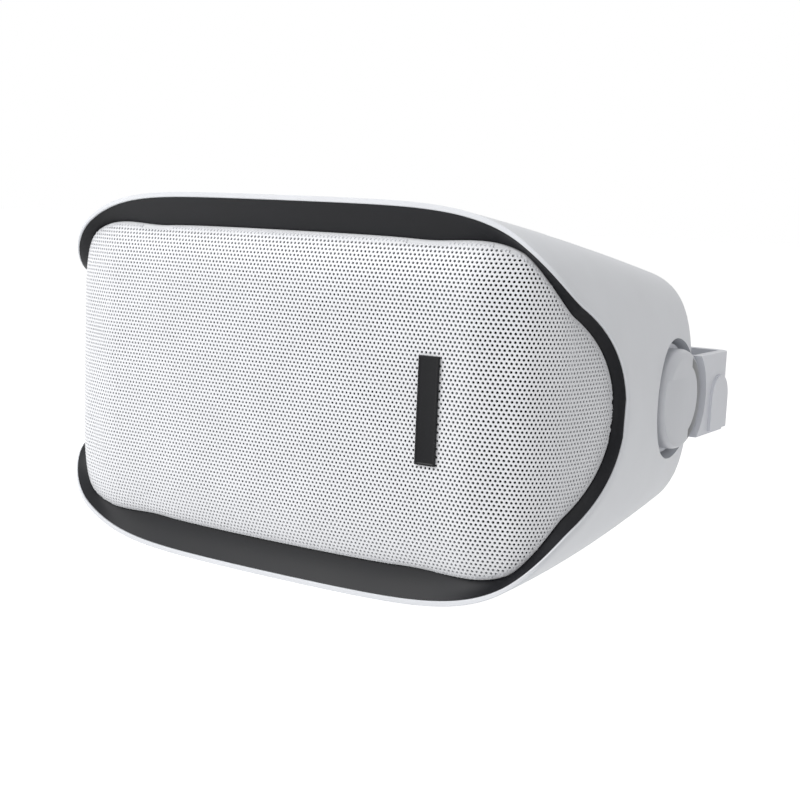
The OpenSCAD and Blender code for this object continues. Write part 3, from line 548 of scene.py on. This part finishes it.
tableX = np.linspace(0, 152, 6001)
tableRun = np.concatenate([[0], np.cumsum(np.hypot(np.diff(tableX), np.diff(frontDepth(tableX))))])


def repeat(piece, step, count):
    apply(piece, "ARRAY", use_relative_offset=False, use_constant_offset=True,
          constant_offset_displace=(step[0] * mm, step[1] * mm, 0), count=count)


def unroll(run):
    # From a length along the front curve to its x
    return np.sign(run) * np.interp(np.abs(run), tableRun, tableX)


def makeSheet(name, low, high):
    # One ring-shaped cell, repeated in rows, trimmed to the outline and pressed to the crowned front
    pitch, row = grille["pitch"], grille["pitch"] * 3 ** 0.5 / 2
    bpy.ops.object.select_all(action="DESELECT")
    bpy.ops.mesh.primitive_circle_add(vertices=6, radius=pitch / 3 ** 0.5 * mm, fill_type="NGON")
    piece = bpy.context.active_object
    piece.name = name
    bpy.ops.object.mode_set(mode="EDIT")
    bpy.ops.mesh.select_all(action="SELECT")
    bpy.ops.mesh.inset(thickness=(pitch / 2 - grille["hole"] * 3 ** 0.5 / 2) * mm)
    bpy.ops.mesh.delete(type="FACE")
    bpy.ops.object.mode_set(mode="OBJECT")
    cell = len(piece.data.vertices)
    first = int(np.ceil(low / pitch))
    up = int(sheetB / row) + 1
    repeat(piece, (pitch, 0), int((high - low) / pitch))
    repeat(piece, (pitch / 2, row), 2)
    repeat(piece, (0, 2 * row), up + 1)
    flat = np.empty(len(piece.data.vertices) * 3, np.float32)
    piece.data.vertices.foreach_get("co", flat)
    flat = flat.reshape(-1, 3).astype(float) / mm
    flat[:, 0] += first * pitch
    flat[:, 1] -= (up if up % 2 == 0 else up + 1) * row
    middle = flat.reshape(-1, cell, 3).mean(1)
    spare = inset(unroll(middle[:, 0]), middle[:, 1]) <= grille["margin"]
    x, z = unroll(flat[:, 0]), flat[:, 1]
    points = frontPoint(x, z, domeDrop(np.maximum(0, inset(x, z)), x))
    piece.data.vertices.foreach_set("co", (points * mm).astype(np.float32).ravel())
    piece.data.update()
    pick(piece)
    bpy.ops.object.mode_set(mode="EDIT")
    bpy.ops.mesh.select_mode(type="VERT")
    bpy.ops.object.mode_set(mode="OBJECT")
    piece.data.polygons.foreach_set("select", np.zeros(len(piece.data.polygons), bool))
    piece.data.edges.foreach_set("select", np.zeros(len(piece.data.edges), bool))
    piece.data.vertices.foreach_set("select", np.repeat(spare, cell))
    bpy.ops.object.mode_set(mode="EDIT")
    bpy.ops.mesh.delete(type="VERT")
    bpy.ops.mesh.select_all(action="SELECT")
    bpy.ops.mesh.remove_doubles(threshold=0.00012)
    bpy.ops.mesh.select_all(action="DESELECT")
    bpy.ops.object.mode_set(mode="OBJECT")
    apply(piece, "SOLIDIFY", thickness=grille["sheet"] * mm, offset=-1)
    smooth(piece, 40)
    return dress(piece, "grille_white", "enclosure", "grille")


reach = float(tableRun[-1])
third = round(reach / 3 / grille["pitch"]) * grille["pitch"]
sheets = [
    makeSheet("grilleLeft", -reach, -third),
    makeSheet("grilleMiddle", -third, third),
    makeSheet("grilleRight", third, reach),
]
for piece in sheets:
    print(piece.name, sum(len(p.vertices) - 2 for p in piece.data.polygons), "triangles")

hem = [sheetRing(i, t) for i, t in ((1.9, 0.3), (1.4, 0.3), (0.9, 0.3), (0.45, 0.12), (0.15, 0.12), (0.0, 0.0))]
hem += [frontRing(sheetLine(0.0), trim["ledge"]), frontRing(sheetLine(0.9), trim["ledge"])]
hem += [sheetRing(i, 1.1) for i in (0.0, 0.5, 1.9)]
grilleHem = loft("grilleHem", hem)
smooth(grilleHem, 50)
dress(grilleHem, "grille_white", "enclosure", "grille")


def clothRing(k):
    line = [k * v for v in sheetLine(grille["roll"] + grille["clothBehind"])]
    return frontRing(line, domeDrop(grille["roll"], line[0]) + grille["clothBehind"])


cloth = [sheetRing(i, grille["clothBehind"]) for i in (0.0, 0.4, 1, 2, 4, 7, 11, 16, 21, 26)]
cloth += [clothRing(k) for k in (0.95, 0.9, 0.85, 0.8, 0.7, 0.5, 0.25, 0.0)]
grilleCloth = loft("grilleCloth", cloth, closed=False)
apply(grilleCloth, "SOLIDIFY", thickness=grille["clothThick"] * mm, offset=-1)
smooth(grilleCloth, 50)
dress(grilleCloth, "dome_silk", "enclosure", "grille")

# Badge: a bare plate with a fine raised border, on the crown of the sheet
badge = {"x": 82.0, "width": 9.6, "height": 46.0, "thick": 1.2, "border": 0.7, "bead": 0.3, "edge": 0.18}
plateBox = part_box("badge_plate")
bpy.ops.object.select_all(action="DESELECT")
bpy.ops.mesh.primitive_cube_add(size=1)
badgePlate = bpy.context.active_object
badgePlate.name = "badgePlate"
badgePlate.scale = [badge["width"] * mm, badge["thick"] * mm, badge["height"] * mm]
bpy.ops.object.transform_apply(location=True, rotation=True, scale=True)
bpy.ops.object.mode_set(mode="EDIT")
bpy.ops.mesh.select_mode(type="FACE")
bpy.ops.mesh.select_all(action="DESELECT")
bpy.ops.object.mode_set(mode="OBJECT")
for face in badgePlate.data.polygons:
    face.select = face.normal.y < -0.9
bpy.ops.object.mode_set(mode="EDIT")
bpy.ops.mesh.inset(thickness=badge["border"] * mm)
bpy.ops.mesh.inset(thickness=badge["bead"] * mm)
bpy.ops.transform.translate(value=(0, badge["bead"] * mm, 0))
bpy.ops.mesh.select_all(action="DESELECT")
bpy.ops.object.mode_set(mode="OBJECT")
apply(badgePlate, "BEVEL", width=badge["edge"] * mm, segments=2, limit_method="ANGLE")
badgePlate.rotation_euler = (0, 0, float(frontAngle(badge["x"])))
badgePlate.location = (Vector(plateBox[0]) + Vector(plateBox[1])) / 2
bpy.ops.object.transform_apply(location=True, rotation=True, scale=True)
smooth(badgePlate, 40)
dress(badgePlate, "badge_black", "enclosure", "badge_plate")
print("front dressed")

# Knobs: thick disc with a rolled edge, a flat finger facet below a step, an arc window on the click ring
knob = {
    "radius": 23.5, "under": 139.2, "top": 149.3, "barrel": 144.6, "roll": 3.4, "edge": 0.3,
    "ringIn": 16.1, "ringOut": 21.5, "ringTop": 145.5, "windowIn": 16.6, "windowOut": 20.6, "windowFrom": 7.5,
    "facetTop": 10.5, "facetTurn": radians(5.6), "crest": (6.5, 148.6), "facetRim": 1.3,
    "boltHole": 4.1, "headHole": 8.1, "headUnder": 140.1, "headTop": 143.3,
}


def ringProfile(inner, outer, start, end):
    return [(inner, start), (outer, start), (outer, end), (inner, end)]


def makeKnob(name, side, node):
    k = knob
    r, dome = k["radius"], k["top"] - k["barrel"]
    profile = [(0, k["under"]), (r - 0.5, k["under"]), (r, k["under"] + 0.5), (r, k["barrel"] - 1.0)]
    for step in range(1, 13):
        a = pi / 2 * step / 12
        profile.append(((r - k["roll"]) + k["roll"] * cos(a), k["barrel"] - 1.0 + dome * sin(a)))
    profile += [(r * 0.5, k["top"] - 0.94), (r * 0.25, k["top"] - 0.91), (0, k["top"] - 0.9)]
    piece = turned(name, profile, steps=144)
    start = k["under"] - 1.2
    cut(piece, turned("hollow", ringProfile(k["ringIn"], k["ringOut"], start, k["ringTop"])))
    seat = [(0, start), (k["boltHole"], start), (k["boltHole"], k["headUnder"]),
            (k["headHole"], k["headUnder"]), (k["headHole"], k["headTop"]), (0, k["headTop"])]
    cut(piece, turned("seat", seat, 64))
    # Arc window over the rear half of the ring
    window = turned("window", ringProfile(k["windowIn"], k["windowOut"], 141, 160))
    cut(window, block((130, pivot["y"] + k["windowFrom"], -30), (170, pivot["y"] + 40, 30)), "INTERSECT")
    cut(piece, window)
    # Flat facet falling away from the crest towards the front edge, stopped by a step near the top
    facet = block((0, -60, -40), (20, 0, k["facetTop"]))
    facet.rotation_euler = (0, 0, -k["facetTurn"])
    facet.location = (k["crest"][1] * mm, (pivot["y"] + k["crest"][0]) * mm, 0)
    pick(facet)
    bpy.ops.object.transform_apply(location=True, rotation=True, scale=True)
    cut(facet, rod(140, 170, pivot["y"], 0, r - k["facetRim"], sides=144), "INTERSECT")
    cut(piece, facet)
    apply(piece, "BEVEL", width=k["edge"] * mm, segments=2, limit_method="ANGLE", angle_limit=radians(35))
    if side < 0:
        flipSide(piece)
    smooth(piece, 35)
    return dress(piece, "knob_grey", node, node)


knobRight = makeKnob("knobRight", 1, "knob_right")
knobLeft = makeKnob("knobLeft", -1, "knob_left")
print("knobs", len(knobRight.data.polygons), "faces each")

# Room: pale floor, soft key from the left, weak fill, bright surroundings
room = {"floor": -0.16, "floorGlow": 0.66, "world": 0.40, "aim": (0, -0.1, 0)}
lamps = {  # place, size and power
    "keyLamp": ((-0.75, -1.35, 0.95), 1.1, 19.0),
    "fillLamp": ((1.5, -0.5, 0.35), 0.9, 1.6),
    "topLamp": ((0.1, -0.4, 1.5), 1.0, 4.0),
}


def makeRoom():
    bpy.ops.object.select_all(action="DESELECT")
    bpy.ops.mesh.primitive_plane_add(size=30, location=(0, 0, room["floor"]))
    floor = bpy.context.active_object
    floor.name = "floor"
    material = bpy.data.materials.new("paleFloor")
    material.use_nodes = True
    tree = material.node_tree
    shader = tree.nodes["Principled BSDF"]
    shader.inputs["Base Color"].default_value = (0.86, 0.86, 0.86, 1)
    shader.inputs["Roughness"].default_value = 0.9
    seen = seenRays(tree)
    glow = tree.nodes.new("ShaderNodeMath")
    glow.operation = "MULTIPLY"
    glow.inputs[1].default_value = room["floorGlow"]
    link(tree, seen, glow.inputs[0])
    link(tree, glow.outputs[0], shader.inputs["Emission Strength"])
    shader.inputs["Emission Color"].default_value = (1, 1, 1, 1)
    floor.data.materials.append(material)
    world = bpy.data.worlds.new("softRoom")
    scene.world = world
    world.use_nodes = True
    tree = world.node_tree
    ground = tree.nodes["Background"]
    ground.inputs["Color"].default_value = (1, 1, 1, 1)
    seen = seenRays(tree)
    level = tree.nodes.new("ShaderNodeMapRange")
    level.inputs["To Min"].default_value = room["world"]
    level.inputs["To Max"].default_value = 1.0
    link(tree, seen, level.inputs["Value"])
    link(tree, level.outputs["Result"], ground.inputs["Strength"])


def seenRays(tree):
    # 1 for what the camera sees, directly, in a mirror or through glass
    path = tree.nodes.new("ShaderNodeLightPath")
    first = tree.nodes.new("ShaderNodeMath")
    second = tree.nodes.new("ShaderNodeMath")
    for node, a, b in ((first, "Is Camera Ray", "Is Glossy Ray"), (second, None, "Is Transmission Ray")):
        node.operation = "ADD"
        node.use_clamp = True
        link(tree, path.outputs[a] if a else first.outputs[0], node.inputs[0])
        link(tree, path.outputs[b], node.inputs[1])
    return second.outputs[0]


def softLamp(name, place, size, power):
    lamp = bpy.data.lights.new(name, "AREA")
    lamp.size = size
    lamp.energy = power
    thing = bpy.data.objects.new(name, lamp)
    scene.collection.objects.link(thing)
    thing.location = place
    thing.rotation_euler = (Vector(room["aim"]) - Vector(place)).to_track_quat("-Z", "Y").to_euler()


makeRoom()
for name, (place, size, power) in lamps.items():
    softLamp(name, place, size, power)
print("room lit")

# Camera at the photograph's place, with its turn, height and slight roll
view = {
    "place": (0.3620, -0.6492, 0.0823), "lens": 59.92,
    "azimuth": radians(32.026), "elevation": radians(8.149), "roll": radians(2.416),
}
turnBy, raiseBy, rollBy = view["azimuth"], view["elevation"], view["roll"]
away = Vector((sin(turnBy) * cos(raiseBy), -cos(turnBy) * cos(raiseBy), sin(raiseBy)))
across = (-away).cross(Vector((0, 0, 1))).normalized()
upward = across.cross(-away)
right = cos(rollBy) * across + sin(rollBy) * upward
top = -sin(rollBy) * across + cos(rollBy) * upward
lens = bpy.data.cameras.new("camera")
lens.sensor_width = 36
lens.sensor_fit = "HORIZONTAL"
lens.lens = view["lens"]
lens.clip_start = 0.01
camera = bpy.data.objects.new("camera", lens)
scene.collection.objects.link(camera)
turn = Matrix((right, top, away)).transposed().to_4x4()
camera.matrix_world = Matrix.Translation(view["place"]) @ turn
scene.camera = camera
